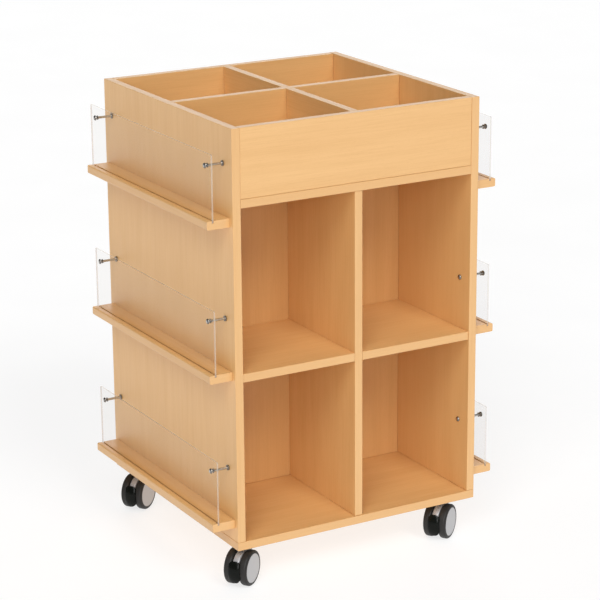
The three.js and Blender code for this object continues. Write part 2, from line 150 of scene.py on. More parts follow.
CAMERA_PLACE = (-2.452, -4.348, 2.058)
CAMERA_HEADING = math.radians(29.69)  # from +Y towards +X
CAMERA_TILT = math.radians(-16.99)
CAMERA_ROLL = math.radians(-0.46)
CAMERA_LENS = 137.15  # in millimetres, as the sensor's width is
CAMERA_SENSOR_WIDTH = 36.0

# ---- Looks -----------------------------------------------------------------------------------
# Scales are in features per metre. On the boards they run along the grain, then across it.
BOARD_GLOSS = 1.0
BEECH_BANDS = (2.2, 38.0, 38.0)
BEECH_LINES = (11.0, 520.0, 520.0)
BEECH_FLECKS = (120.0, 1300.0, 1300.0)
SHEET_MARKS = (60.0, 60.0, 60.0)
METAL_PATCHES = (180.0, 180.0, 180.0)
METAL_SCRATCHES = (400.0, 400.0, 6000.0)
DUST = (70.0, 70.0, 70.0)
FLOOR_MOTTLE = (3.0, 3.0, 3.0)
GLANCING_POWER = 5.0  # how late a clear sheet's reflection rises towards a glancing view

FLOOR_HALF_WIDTH = 40.0
FLOOR_THICKNESS = 0.02
FLOOR_TONES = ((0.30, 0.30, 0.30), (0.28, 0.28, 0.28))
FLOOR_ROUGHNESS = 0.9
FLOOR_GLOW = 0.74
WORLD_GLOW = 0.20
SUNS = (  # name, direction from the stand, strength, spread in degrees
    ("key_light", (-0.50, -0.50, 0.70), 1.12, 28),
    ("front_light", (0.05, -0.75, 0.66), 1.08, 22),
    ("low_light", (-0.55, -0.75, 0.30), 0.68, 22),
    ("back_light", (0.47, 0.83, 0.35), 0.40, 35),
)

SIDES = (("left", -1), ("right", 1))
LEVELS = ("bottom", "middle", "top")
ENDS = ("front", "rear")
PLACES = ("front_left", "front_right", "rear_left", "rear_right")
JOINTS = {joint["name"]: joint for joint in frame["joints"]}


# ---- Node helpers for the materials ----------------------------------------------------------
def new_material(name, colour, roughness, metallic=0.0):
    material = bpy.data.materials.new(name)
    material.use_nodes = True
    tree = material.node_tree
    shader = tree.nodes["Principled BSDF"]
    shader.inputs["Base Color"].default_value = (*colour, 1.0)
    shader.inputs["Roughness"].default_value = roughness
    shader.inputs["Metallic"].default_value = metallic
    return material, tree, shader


def object_coordinates(tree):
    return tree.nodes.new("ShaderNodeTexCoord").outputs["Object"]


def grain_coordinates(tree):
    attribute = tree.nodes.new("ShaderNodeAttribute")
    attribute.attribute_name = "grain"
    return attribute.outputs["Vector"]


def add_noise(tree, coordinates, scale, detail=2.0):
    """Noise with its own number of features per metre along each of the three axes."""
    mapping = tree.nodes.new("ShaderNodeMapping")
    mapping.inputs["Scale"].default_value = scale
    noise = tree.nodes.new("ShaderNodeTexNoise")
    noise.inputs["Scale"].default_value = 1.0
    noise.inputs["Detail"].default_value = detail
    tree.links.new(coordinates, mapping.inputs["Vector"])
    tree.links.new(mapping.outputs["Vector"], noise.inputs["Vector"])
    return noise.outputs["Fac"]


def add_range(tree, value, source, target):
    """Value remapped from a source range to a target range."""
    node = tree.nodes.new("ShaderNodeMapRange")
    node.inputs["From Min"].default_value = source[0]
    node.inputs["From Max"].default_value = source[1]
    node.inputs["To Min"].default_value = target[0]
    node.inputs["To Max"].default_value = target[1]
    tree.links.new(value, node.inputs["Value"])
    return node.outputs["Result"]


def add_mix(tree, factor, low, high):
    """Colour mixed by a factor; low is a colour or a socket, and high a colour."""
    node = tree.nodes.new("ShaderNodeMix")
    node.data_type = "RGBA"
    low_input, high_input = [socket for socket in node.inputs if socket.type == "RGBA"]
    tree.links.new(factor, node.inputs["Factor"])
    if isinstance(low, tuple):
        low_input.default_value = (*low, 1.0)
    else:
        tree.links.new(low, low_input)
    high_input.default_value = (*high, 1.0)
    return [socket for socket in node.outputs if socket.type == "RGBA"][0]


def add_bump(tree, shader, height, strength, distance):
    bump = tree.nodes.new("ShaderNodeBump")
    bump.inputs["Strength"].default_value = strength
    bump.inputs["Distance"].default_value = distance
    tree.links.new(height, bump.inputs["Height"])
    tree.links.new(bump.outputs["Normal"], shader.inputs["Normal"])


def worn_edges(tree, reach):
    """From 0 on flat faces to 1 on convex edges."""
    pointiness = tree.nodes.new("ShaderNodeNewGeometry").outputs["Pointiness"]
    return add_range(tree, pointiness, (0.5, 0.5 + reach), (0.0, 1.0))


# ---- Materials -------------------------------------------------------------------------------
def beech(name, light, middle, dark, roughness):
    """Beech-pattern facing: broad bands, fine lines and short dark flecks along the grain."""
    material, tree, shader = new_material(name, middle, roughness)
    shader.inputs["Specular IOR Level"].default_value = BOARD_GLOSS
    grain = grain_coordinates(tree)
    bands = add_noise(tree, grain, BEECH_BANDS, 3.0)
    lines = add_noise(tree, grain, BEECH_LINES, 2.0)
    flecks = add_noise(tree, grain, BEECH_FLECKS, 1.0)
    colour = add_mix(tree, add_range(tree, bands, (0.35, 0.65), (0.0, 1.0)), light, middle)
    colour = add_mix(tree, add_range(tree, lines, (0.45, 0.75), (0.0, 0.3)), colour, dark)
    colour = add_mix(tree, add_range(tree, flecks, (0.62, 0.72), (0.0, 0.35)), colour, dark)
    worn = add_range(tree, worn_edges(tree, 0.08), (0.0, 1.0), (0.0, 0.35))
    colour = add_mix(tree, worn, colour, light)
    tree.links.new(colour, shader.inputs["Base Color"])
    dull = add_range(tree, lines, (0.3, 0.7), (roughness - 0.05, roughness + 0.07))
    tree.links.new(dull, shader.inputs["Roughness"])
    add_bump(tree, shader, flecks, 0.12, 0.05 * MM)
    return material


def clear_sheet(name, tint, alpha, roughness, metallic):
    """Clear acrylic: alpha runs from a view from the front to a glancing view."""
    material, tree, shader = new_material(name, tint, roughness, metallic)
    facing = tree.nodes.new("ShaderNodeLayerWeight")
    facing.inputs["Blend"].default_value = 0.5
    glancing = tree.nodes.new("ShaderNodeMath")
    glancing.operation = "POWER"
    glancing.inputs[1].default_value = GLANCING_POWER
    tree.links.new(facing.outputs["Facing"], glancing.inputs[0])
    cover = add_range(tree, glancing.outputs[0], (0.0, 1.0), alpha)
    tree.links.new(cover, shader.inputs["Alpha"])
    marks = add_noise(tree, object_coordinates(tree), SHEET_MARKS, 4.0)
    haze = add_range(tree, marks, (0.3, 0.8), (roughness, roughness + 0.05))
    tree.links.new(haze, shader.inputs["Roughness"])
    return material


def metal(name, colour, roughness, worn):
    """Turned or plated metal with fine scratches and brighter edges."""
    material, tree, shader = new_material(name, colour, roughness, 1.0)
    place = object_coordinates(tree)
    patches = add_noise(tree, place, METAL_PATCHES, 3.0)
    scratches = add_noise(tree, place, METAL_SCRATCHES, 2.0)
    dark = tuple(0.6 * c for c in colour)
    tinted = add_mix(tree, add_range(tree, patches, (0.3, 0.8), (0.0, 0.5)), colour, dark)
    edges = add_range(tree, worn_edges(tree, 0.1), (0.0, 1.0), (0.0, 0.6))
    tinted = add_mix(tree, edges, tinted, worn)
    tree.links.new(tinted, shader.inputs["Base Color"])
    dull = add_range(tree, scratches, (0.3, 0.7), (roughness - 0.08, roughness + 0.1))
    tree.links.new(dull, shader.inputs["Roughness"])
    add_bump(tree, shader, scratches, 0.08, 0.02 * MM)
    return material


def moulded(name, colour, dusty, roughness, texture, metallic=0.0, specular=0.5):
    """Moulded plastic, rubber or paint with a fine surface texture and a little dust or wear."""
    material, tree, shader = new_material(name, colour, roughness, metallic)
    shader.inputs["Specular IOR Level"].default_value = specular
    place = object_coordinates(tree)
    dust = add_noise(tree, place, DUST, 4.0)
    pimples = add_noise(tree, place, (texture, texture, texture), 2.0)
    tinted = add_mix(tree, add_range(tree, dust, (0.45, 0.8), (0.0, 0.6)), colour, dusty)
    edges = add_range(tree, worn_edges(tree, 0.08), (0.0, 1.0), (0.0, 0.4))
    tinted = add_mix(tree, edges, tinted, dusty)
    tree.links.new(tinted, shader.inputs["Base Color"])
    dull = add_range(tree, dust, (0.3, 0.8), (roughness, roughness + 0.15))
    tree.links.new(dull, shader.inputs["Roughness"])
    add_bump(tree, shader, pimples, 0.15, 0.05 * MM)
    return material


def make_materials():
    return {
        "face": beech(
            "beech_face",
            light=(0.78, 0.459, 0.181),
            middle=(0.74, 0.421, 0.158),
            dark=(0.64, 0.337, 0.111),
            roughness=0.42,
        ),
        "band": beech(
            "beech_edge_band",
            light=(0.75, 0.437, 0.173),
            middle=(0.71, 0.400, 0.150),
            dark=(0.61, 0.318, 0.107),
            roughness=0.38,
        ),
        "guard": clear_sheet(
            "acrylic_face",
            tint=(0.52, 0.44, 0.34),
            alpha=(0.045, 0.25),
            roughness=0.02,
            metallic=1.0,
        ),
        "guard_edge": clear_sheet(
            "acrylic_edge",
            tint=(0.68, 0.62, 0.55),
            alpha=(0.42, 0.8),
            roughness=0.30,
            metallic=0.4,
        ),
        "steel": metal(
            "stainless_steel",
            colour=(0.55, 0.54, 0.52),
            roughness=0.22,
            worn=(0.78, 0.77, 0.75),
        ),
        # The same stainless steel, darkened: painted dark reflection on the heads, nuts and
        # collars, standing for dark surroundings they mirror.
        "steel_painted_dark": metal(
            "stainless_steel_painted_dark",
            colour=(0.16, 0.145, 0.13),
            roughness=0.25,
            worn=(0.55, 0.54, 0.52),
        ),
        "zinc": metal(
            "zinc_plate",
            colour=(0.40, 0.41, 0.42),
            roughness=0.38,
            worn=(0.60, 0.60, 0.59),
        ),
        "silver": moulded(
            "silver_paint",
            colour=(0.48, 0.48, 0.50),
            dusty=(0.56, 0.56, 0.57),
            roughness=0.34,
            texture=2600.0,
            metallic=0.35,
        ),
        "disc": moulded(
            "satin_grey_disc",
            colour=(0.50, 0.50, 0.51),
            dusty=(0.55, 0.55, 0.555),
            roughness=0.40,
            texture=2200.0,
            metallic=0.15,
        ),
        "tyre": moulded(
            "black_rubber",
            colour=(0.012, 0.011, 0.010),
            dusty=(0.028, 0.026, 0.024),
            roughness=0.46,
            texture=1400.0,
            specular=0.4,
        ),
        "pedal": moulded(
            "black_plastic",
            colour=(0.003, 0.004, 0.003),
            dusty=(0.006, 0.006, 0.005),
            roughness=0.16,
            texture=900.0,
            specular=0.14,
        ),
    }


# ---- Mesh helpers ----------------------------------------------------------------------------
def arc(centre, radius, start, end, steps):
    """Points on a circle from one angle to another, in degrees."""
    angles = [math.radians(start + (end - start) * i / steps) for i in range(steps + 1)]
    return [(centre[0] + radius * math.cos(a), centre[1] + radius * math.sin(a)) for a in angles]


def whole_circle(centre, radius, sides):
    return arc(centre, radius, 0, 360 * (sides - 1) / sides, sides - 1)


def quarter_turn(steps=ARC_STEPS):
    return [math.pi / 2 * i / steps for i in range(steps + 1)]


def filleted(points, radius, steps=3):
    """An open line of points with all its corners rounded, short sides less than long ones."""
    result = [points[0]]
    for before, corner, after in zip(points, points[1:], points[2:]):
        here = Vector(corner)
        back, onward = Vector(before) - here, Vector(after) - here
        reach = min(radius, FILLET_SHARE * back.length, FILLET_SHARE * onward.length)
        start, end = here + reach * back.normalized(), here + reach * onward.normalized()
        for i in range(steps + 1):
            t = i / steps
            result.append(tuple((1 - t) ** 2 * start + 2 * t * (1 - t) * here + t * t * end))
    result.append(points[-1])
    return result


def turned_mesh(name, profile, segments):
    """A solid turned about Z, from (place along Z, radius) pairs that begin and end on the axis."""
    shape = bmesh.new()
    rings = []
    for place, radius in profile:
        if radius == 0:
            rings.append([shape.verts.new((0, 0, place))])
            continue
        circle = whole_circle((0, 0), radius, segments)
        rings.append([shape.verts.new((x, y, place)) for x, y in circle])
    for lower, upper in zip(rings, rings[1:]):
        for i in range(segments):
            j = (i + 1) % segments
            corners = [lower[i % len(lower)], lower[j % len(lower)]]
            corners += [upper[j % len(upper)], upper[i % len(upper)]]
            unique = list(dict.fromkeys(corners))
            if len(unique) > 2:
                shape.faces.new(unique)
    return finished_mesh(name, shape)


def lofted_mesh(name, sections):
    """A solid through closed sections that have the same number of points."""
    shape = bmesh.new()
    rings = [[shape.verts.new(point) for point in section] for section in sections]
    for lower, upper in zip(rings, rings[1:]):
        for i in range(len(lower)):
            j = (i + 1) % len(lower)
            shape.faces.new((lower[i], lower[j], upper[j], upper[i]))
    shape.faces.new(rings[0])
    shape.faces.new(rings[-1])
    return finished_mesh(name, shape)


def finished_mesh(name, shape):
    bmesh.ops.recalc_face_normals(shape, faces=shape.faces)
    mesh = bpy.data.meshes.new(name)
    shape.to_mesh(mesh)
    shape.free()
    mesh.shade_smooth()
    mesh.set_sharp_from_angle(angle=SHARP_ANGLE)
    return mesh


def slab_mesh(name, outline, axis, low, high):
    """A plate whose outline lies across an axis (0, 1 or 2), filling low to high along it."""
    first, second = (i for i in range(3) if i != axis)
    sections = []
    for level in (low, high):
        section = []
        for a, b in outline:
            point = [0.0, 0.0, 0.0]
            point[first], point[second], point[axis] = a, b, level
            section.append(point)
        sections.append(section)
    return lofted_mesh(name, sections)


def place_piece(name, mesh, matrix=Matrix.Identity(4)):
    piece = bpy.data.objects.new(name, mesh)
    bpy.context.scene.collection.objects.link(piece)
    piece.matrix_world = matrix
    return piece


def soften(piece, radius, segments=3, cutter=None):
    """Rounds a piece's sharp edges, cuts its holes and shades its flat faces as flat."""
    bevel = piece.modifiers.new("rounded_edges", "BEVEL")
    bevel.width = radius
    bevel.segments = segments
    bevel.limit_method = "ANGLE"
    bevel.angle_limit = BEVEL_ANGLE
    if cutter is not None:
        holes = piece.modifiers.new("holes", "BOOLEAN")
        holes.operation = "DIFFERENCE"
        holes.solver = "EXACT"
        holes.object = cutter
    piece.modifiers.new("flat_faces", "WEIGHTED_NORMAL")
    bpy.context.view_layer.update()
    evaluated = piece.evaluated_get(bpy.context.evaluated_depsgraph_get())
    mesh = bpy.data.meshes.new_from_object(evaluated)
    piece.modifiers.clear()
    piece.data = mesh
    if cutter is not None:
        bpy.data.objects.remove(cutter)


def round_cutter(centres, radius, axis, low, high):
    """Round bars along an axis, for cutting holes."""
    first, second = (i for i in range(3) if i != axis)
    shape = bmesh.new()
    for centre in centres:
        circle = whole_circle((centre[first], centre[second]), radius, HOLE_SIDES)
        mesh = slab_mesh("cutter", circle, axis, low, high)
        shape.from_mesh(mesh)
        bpy.data.meshes.remove(mesh)
    return place_piece("cutter", finished_mesh("cutter", shape))


def finish_piece(piece, body, slot, materials, *nodes):
    """Gives a piece its materials, says which body it moves with and hides the CAD parts it stands
    for.
    """
    piece.data.materials.clear()
    for material in materials:
        piece.data.materials.append(material)
    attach(piece, body)
    if nodes:
        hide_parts(*nodes)


# ---- Boards ----------------------------------------------------------------------------------
def paint_board(mesh, thickness_axis, grain_axis, number):
    """Sets which faces are edge banding, and lays the grain along each face.

    The number picks the board's own part of the endless beech pattern.
    """
    layer = mesh.attributes.new("grain", "FLOAT_VECTOR", "CORNER")
    shift = [step * number for step in GRAIN_SHIFT]
    values = [0.0] * (3 * len(mesh.loops))
    for face in mesh.polygons:
        facing = max(range(3), key=lambda i: abs(face.normal[i]))
        along = grain_axis
        if facing != thickness_axis:
            along = next(i for i in range(3) if i not in (facing, thickness_axis))
            face.material_index = 1
        order = (along, *(i for i in range(3) if i != along))
        for loop in face.loop_indices:
            point = mesh.vertices[mesh.loops[loop].vertex_index].co
            values[3 * loop:3 * loop + 3] = [point[i] + shift[k] for k, i in enumerate(order)]
    layer.data.foreach_set("vector", values)


def banded_board(node, grain_axis, number, materials, hole_centres=()):
    """A rectangular board in the place of a CAD node, with rounded banded edges."""
    low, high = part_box(node)
    size = high - low
    axis = min(range(3), key=lambda i: size[i])
    first, second = (i for i in range(3) if i != axis)
    outline = [
        (low[first], low[second]),
        (high[first], low[second]),
        (high[first], high[second]),
        (low[first], high[second]),
    ]
    mesh = slab_mesh(f"{node}_board", outline, axis, low[axis], high[axis])
    shape = bmesh.new()
    shape.from_mesh(mesh)
    faces = [face for face in shape.faces if abs(face.normal[axis]) > FLAT]
    border = EDGE_BAND_THICKNESS + BOARD_EDGE_RADIUS
    bmesh.ops.inset_individual(shape, faces=faces, thickness=border)
    shape.to_mesh(mesh)
    shape.free()
    piece = place_piece(f"{node}_board", mesh)
    cutter = None
    if hole_centres:
        ends = (low[axis] - MM, high[axis] + MM)
        cutter = round_cutter(hole_centres, STANDOFF_HOLE_RADIUS, axis, *ends)
    soften(piece, BOARD_EDGE_RADIUS, cutter=cutter)
    finish_piece(piece, "stand", "beech_board", (materials["face"], materials["band"]), node)
    paint_board(piece.data, axis, grain_axis, number)


def standoff_centre(side, level, end):
    low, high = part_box(f"standoff_{side}_{level}_{end}")
    return (low + high) / 2


def make_boards(materials):
    across, depth, upright = 0, 1, 2
    boards = [
        ("base_panel", across),
        ("trough_floor", across),
        ("middle_wall", upright),
        ("trough_divider_long", across),
    ]
    for end in ENDS:
        boards.append((f"divider_{end}", upright))
        boards.append((f"trough_panel_{end}", across))
        boards.append((f"trough_divider_{end}", depth))
        for side, _ in SIDES:
            boards.append((f"compartment_shelf_{end}_{side}", across))
    for number, (node, grain_axis) in enumerate(boards):
        banded_board(node, grain_axis, number, materials)
    for side, sign in SIDES:
        centres = [standoff_centre(side, level, end) for level in LEVELS for end in ENDS]
        number = len(boards) + 1 + sign
        banded_board(f"side_panel_{side}", upright, number, materials, centres)


def ledge_outline(side, level, sign):
    """A ledge's section across Y, with the guard's groove, and its front and rear ends."""
    low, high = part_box(f"display_ledge_{side}_{level}")
    guard_low, guard_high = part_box(f"guard_{side}_{level}")
    inner = min(abs(low.x), abs(high.x))
    outer = max(abs(low.x), abs(high.x))
    groove = sorted((abs(guard_low.x), abs(guard_high.x)))
    floor = guard_low.z - CLEARANCE
    radius = LEDGE_CORNER_RADIUS
    section = [(inner, low.z)]
    section += arc((outer - radius, low.z + radius), radius, -90, 0, ARC_STEPS)
    section += arc((outer - radius, high.z - radius), radius, 0, 90, ARC_STEPS)
    section += [
        (groove[1] + GROOVE_CLEARANCE, high.z),
        (groove[1] + GROOVE_CLEARANCE, floor),
        (groove[0] - GROOVE_CLEARANCE, floor),
        (groove[0] - GROOVE_CLEARANCE, high.z),
        (inner, high.z),
    ]
    return [(sign * x, z) for x, z in section], low.y, high.y


def make_ledges(materials):
    for side, sign in SIDES:
        for number, level in enumerate(LEVELS):
            node = f"display_ledge_{side}_{level}"
            outline, front, rear = ledge_outline(side, level, sign)
            mesh = slab_mesh(f"{node}_board", outline, 1, front, rear)
            piece = place_piece(f"{node}_board", mesh)
            soften(piece, LEDGE_EDGE_RADIUS)
            beeches = (materials["face"], materials["band"])
            finish_piece(piece, "stand", "beech_board", beeches, node)
            pattern = FIRST_LEDGE_NUMBER + len(LEVELS) * sign + number
            paint_board(piece.data, thickness_axis=2, grain_axis=1, number=pattern)


# ---- Guards and stand-offs -------------------------------------------------------------------
def make_guards(materials):
    for side, _ in SIDES:
        for level in LEVELS:
            node = f"guard_{side}_{level}"
            low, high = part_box(node)
            radius = GUARD_CORNER_RADIUS
            outline = [(low.y, low.z), (high.y, low.z)]
            outline += arc((high.y - radius, high.z - radius), radius, 0, 90, ARC_STEPS)
            outline += arc((low.y + radius, high.z - radius), radius, 90, 180, ARC_STEPS)
            mesh = slab_mesh(f"{node}_sheet", outline, 0, low.x, high.x)
            piece = place_piece(f"{node}_sheet", mesh)
            centres = [standoff_centre(side, level, end) for end in ENDS]
            cutter = round_cutter(centres, STANDOFF_HOLE_RADIUS, 0, low.x - MM, high.x + MM)
            soften(piece, GUARD_EDGE_RADIUS, 2, cutter)
            sheets = (materials["guard"], materials["guard_edge"])
            finish_piece(piece, "stand", "clear_acrylic", sheets, node)
            for face in piece.data.polygons:
                face.material_index = int(abs(face.normal.x) < FLAT)


def standoff_profile():
    """From the cap nut inside the carcass to the domed head outside the guard."""
    low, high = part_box("standoff_right_bottom_front")
    panel_low, panel_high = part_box("side_panel_right")
    guard_low, guard_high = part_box("guard_right_bottom")
    wide = STANDOFF_HEAD_RADIUS
    rod = STANDOFF_ROD_RADIUS
    washer = STANDOFF_WASHER_RADIUS
    panel_inner, panel_outer = panel_low.x - CLEARANCE, panel_high.x + CLEARANCE
    guard_inner, guard_outer = guard_low.x - CLEARANCE, guard_high.x + CLEARANCE
    nut_depth, head_depth = panel_inner - low.x, high.x - guard_outer
    nut = [(panel_inner - nut_depth * math.sin(a), wide * math.cos(a)) for a in quarter_turn()]
    head = [(guard_outer + head_depth * math.sin(a), wide * math.cos(a)) for a in quarter_turn()]
    middle = [
        (panel_inner, wide),
        (panel_inner, rod),
        (panel_outer, rod),
        (panel_outer, wide),
        (panel_outer + STANDOFF_COLLAR_LENGTH, wide),
        (panel_outer + STANDOFF_COLLAR_LENGTH, rod),
        (guard_inner - STANDOFF_WASHER_THICKNESS, rod),
        (guard_inner - STANDOFF_WASHER_THICKNESS, washer),
        (guard_inner, washer),
        (guard_inner, rod),
        (guard_outer, rod),
        (guard_outer, wide),
    ]
    middle = filleted(middle, STANDOFF_CORNER_RADIUS)
    nut_end, head_end = (low.x, 0), (high.x, 0)
    return [nut_end, *reversed(nut[1:-1]), *middle, *head[1:-1], head_end]


def make_standoffs(materials):
    mesh = turned_mesh("standoff", standoff_profile(), STANDOFF_SIDES)
    # The heads, nuts and collars get the steel with painted dark reflection, the rod the bright
    # steel.
    steel_and_painted_dark_steel = (materials["steel_painted_dark"], materials["steel"])
    for side, sign in SIDES:
        turn = Matrix.Rotation(sign * math.pi / 2, 4, "Y")
        for level in LEVELS:
            for end in ENDS:
                node = f"standoff_{side}_{level}_{end}"
                centre = standoff_centre(side, level, end)
                place = Matrix.Translation((0, centre.y, centre.z)) @ turn
                piece = place_piece(f"{node}_turned", mesh, place)
                finish_piece(piece, "stand", "stainless_steel", steel_and_painted_dark_steel, node)
    for face in mesh.polygons:
        face.material_index = int(math.hypot(*face.center[:2]) < STANDOFF_ROD_LIMIT)


# ---- Casters ---------------------------------------------------------------------------------
def caster_matrix(place):
    """A caster's own frame: on the floor under its swivel, +X trailing, +Y along the axle."""
    swivel = Vector(JOINTS[f"{place}_swivel"]["pos_m"])
    axle = Vector(JOINTS[f"{place}_brake_press"]["axis"])
    turn = math.atan2(axle.y, axle.x) - math.pi / 2
    return Matrix.Translation((swivel.x, swivel.y, 0)) @ Matrix.Rotation(turn, 4, "Z")


def caster_trail():
    swivel = Vector(JOINTS["front_left_swivel"]["pos_m"])
    axle = Vector(JOINTS["front_left_brake_press"]["pos_m"])
    return (axle - swivel).to_2d().length


AXLE = (caster_trail(), WHEEL_RADIUS)  # in a caster's X and Z


def tyre_profile():
    """From the bottom of the axle's bore round the tread to the hub disc's seat."""
    along, inward = TYRE_SHOULDER
    shoulder = []
    for a in quarter_turn(TYRE_SHOULDER_STEPS):
        shoulder.append((along * (1 - math.cos(a)), WHEEL_RADIUS - inward * (1 - math.sin(a))))
    recess_start, recess_end = HUB_RECESS_RADII
    core = [
        (AXLE_BORE_DEPTH, 0),
        (AXLE_BORE_DEPTH, AXLE_BORE_RADIUS),
        (0, AXLE_BORE_RADIUS),
        (0, HUB_RADIUS),
        (HUB_RECESS_DEPTH, recess_start),
        (HUB_RECESS_DEPTH, recess_end),
        shoulder[0],
    ]
    outer = [(WHEEL_WIDTH - place, radius) for place, radius in reversed(shoulder)]
    seat = WHEEL_WIDTH - HUB_DISC_THICKNESS
    seat_edge = HUB_DISC_RADIUS + CLEARANCE
    seat_line = [(WHEEL_WIDTH - CLEARANCE, seat_edge), (seat, seat_edge), (seat, 0)]
    return [*filleted(core, HUB_CORNER_RADIUS), *shoulder[1:], *outer, *seat_line]


def hub_disc_profile():
    """From the disc's back round its rim to the middle of its crown."""
    back = WHEEL_WIDTH - HUB_DISC_THICKNESS + HUB_DISC_GAP
    rim_front = WHEEL_WIDTH - HUB_DISC_DOME
    dome = []
    for step in reversed(range(1, HUB_DISC_DOME_STEPS)):
        share = step / HUB_DISC_DOME_STEPS
        dome.append((rim_front + HUB_DISC_DOME * (1 - share ** 2), HUB_DISC_RADIUS * share))
    edge = [(back, 0), (back, HUB_DISC_RADIUS), (rim_front, HUB_DISC_RADIUS), dome[0]]
    return [*filleted(edge, HUB_DISC_CORNER_RADIUS), *dome[1:], (WHEEL_WIDTH, 0)]


def make_wheels(place, matrix, meshes, materials):
    for side, sign in SIDES:
        node = f"caster_{place}_wheel_{side}"
        body = f"wheel_{place}_{side}"
        outward = Matrix.Rotation(-sign * math.pi / 2, 4, "X")
        axle_end = Matrix.Translation((AXLE[0], sign * WHEEL_INNER_FACE, AXLE[1]))
        tyre = place_piece(f"{node}_tyre", meshes["tyre"], matrix @ axle_end @ outward)
        finish_piece(tyre, body, "black_tyre", (materials["tyre"],), node)
        disc = place_piece(f"{node}_hub_disc", meshes["disc"], matrix @ axle_end @ outward)
        finish_piece(disc, body, "silver_housing", (materials["disc"],))


def housing_outline():
    """The housing's side view: a column under the flange, the boss, and the hood."""
    outline = [
        (COLUMN_HALF_WIDTH + COLUMN_SHOULDER, WEB_TOP),
        (-COLUMN_HALF_WIDTH, WEB_TOP),
        (-COLUMN_HALF_WIDTH, COLUMN_BOTTOM + COLUMN_CHAMFER),
        (COLUMN_CHAMFER - COLUMN_HALF_WIDTH, COLUMN_BOTTOM),
    ]
    outline += arc(AXLE, BOSS_RADIUS, BOSS_START_ANGLE, 360 + HOOD_ANGLES[0], BOSS_STEPS)
    outline += arc(AXLE, HOOD_RADIUS, *HOOD_ANGLES, HOOD_STEPS)
    return outline


def make_housing_mesh():
    """The hood and its column, the flange under the plate, and the axle, as one casting."""
    outline = housing_outline()
    half = HOOD_HALF_THICKNESS
    web = place_piece("web", slab_mesh("web", outline, 1, -half, half))
    bore_ends = (KINGPIN_BORE_BOTTOM, WEB_TOP + MM)
    bore = round_cutter([(0, 0, 0)], KINGPIN_BORE_RADIUS, 2, *bore_ends)
    soften(web, HOUSING_EDGE_RADIUS, 4, bore)
    shape = bmesh.new()
    shape.from_mesh(web.data)
    flange_low, flange_high = FLANGE_HEIGHTS
    ring = [
        (flange_low, KINGPIN_BORE_RADIUS),
        (flange_low, FLANGE_RADIUS),
        (flange_high, FLANGE_RADIUS),
        (flange_high, KINGPIN_BORE_RADIUS),
    ]
    add_ring(shape, filleted(ring, FLANGE_CORNER_RADIUS), FLANGE_SIDES)
    half_length = WHEEL_INNER_FACE + AXLE_BORE_DEPTH - CLEARANCE
    pin = [
        (-half_length, 0),
        (-half_length, AXLE_RADIUS),
        (half_length, AXLE_RADIUS),
        (half_length, 0),
    ]
    axle = turned_mesh("axle", filleted(pin, AXLE_CORNER_RADIUS), AXLE_SIDES)
    sideways = Matrix.Rotation(math.pi / 2, 4, "X")
    axle.transform(Matrix.Translation((AXLE[0], 0, AXLE[1])) @ sideways)
    shape.from_mesh(axle)
    bpy.data.meshes.remove(axle)
    bpy.data.objects.remove(web)
    return finished_mesh("caster_housing", shape)


def add_ring(shape, profile, segments):
    """A closed ring about Z, from (place along Z, radius) pairs."""
    rings = []
    for height, radius in profile:
        circle = whole_circle((0, 0), radius, segments)
        rings.append([shape.verts.new((x, y, height)) for x, y in circle])
    for lower, upper in zip(rings, rings[1:] + rings[:1]):
        for i in range(segments):
            j = (i + 1) % segments
            shape.faces.new((lower[i], lower[j], upper[j], upper[i]))


def pedal_web():
    """The pedal's arm: it wraps round the boss and runs out between the wheels."""
    hook_end, hook_root = PEDAL_HOOK_ANGLES
    end_steps, bore_steps, hook_steps = PEDAL_ARC_STEPS
    reach = PEDAL_FOOT_RADII[0] + PEDAL_WEB_OVERLAP
    outline = arc(AXLE, reach, PEDAL_ARM_TOE_ANGLE, PEDAL_ARM_TOP_ANGLE, end_steps)
    outline += arc(AXLE, PEDAL_BORE_RADIUS, PEDAL_ARM_TOP_ANGLE, hook_end, bore_steps)
    outline += arc(AXLE, PEDAL_HOOK_RADIUS, hook_end, hook_root, hook_steps)
    half = PEDAL_WEB_HALF_THICKNESS
    web = place_piece("pedal_web", slab_mesh("pedal_web", outline, 1, -half, half))
    soften(web, PEDAL_WEB_EDGE_RADIUS)
    return web


def pedal_foot_section(y):
    """The foot piece's outline at one place across its width, crowned towards its middle."""
    inner, outer = PEDAL_FOOT_RADII
    corner = PEDAL_FOOT_CORNER
    into_corner = max(0.0, abs(y) - PEDAL_FOOT_HALF_WIDTH + corner)
    pull = (corner - math.sqrt(max(0.0, corner ** 2 - into_corner ** 2))) / outer
    top = math.degrees(math.asin(math.sin(math.radians(PEDAL_FOOT_TOP_ANGLE)) - pull))
    toe = math.degrees(math.asin(math.sin(math.radians(PEDAL_TOE_ANGLE)) + pull))
    share = y / PEDAL_FOOT_HALF_WIDTH
    outer -= PEDAL_FOOT_CROWN * (1 - math.sqrt(max(0.0, 1 - share * share)))
    bevel = PEDAL_FOOT_BEVEL_ANGLE
    outline = arc(AXLE, outer, toe + bevel, top - bevel, PEDAL_FOOT_STEPS)
    outline += arc(AXLE, inner, top, toe, PEDAL_FOOT_STEPS)
    return [(x, y, z) for x, z in outline]


def make_pedal_mesh():
    """The foot piece and the arm, joined into one moulding."""
    sections = []
    for i in range(PEDAL_FOOT_SECTIONS + 1):
        angle = math.pi * i / PEDAL_FOOT_SECTIONS - math.pi / 2
        sections.append(pedal_foot_section(PEDAL_FOOT_HALF_WIDTH * math.sin(angle)))
    foot = place_piece("pedal_foot", lofted_mesh("pedal_foot", sections))
    web = pedal_web()
    union = foot.modifiers.new("arm", "BOOLEAN")
    union.operation = "UNION"
    union.solver = "EXACT"
    union.object = web
    bpy.context.view_layer.update()
    evaluated = foot.evaluated_get(bpy.context.evaluated_depsgraph_get())
    mesh = bpy.data.meshes.new_from_object(evaluated)
    mesh.set_sharp_from_angle(angle=SHARP_ANGLE)
    bpy.data.objects.remove(web)
    bpy.data.objects.remove(foot)
    return mesh


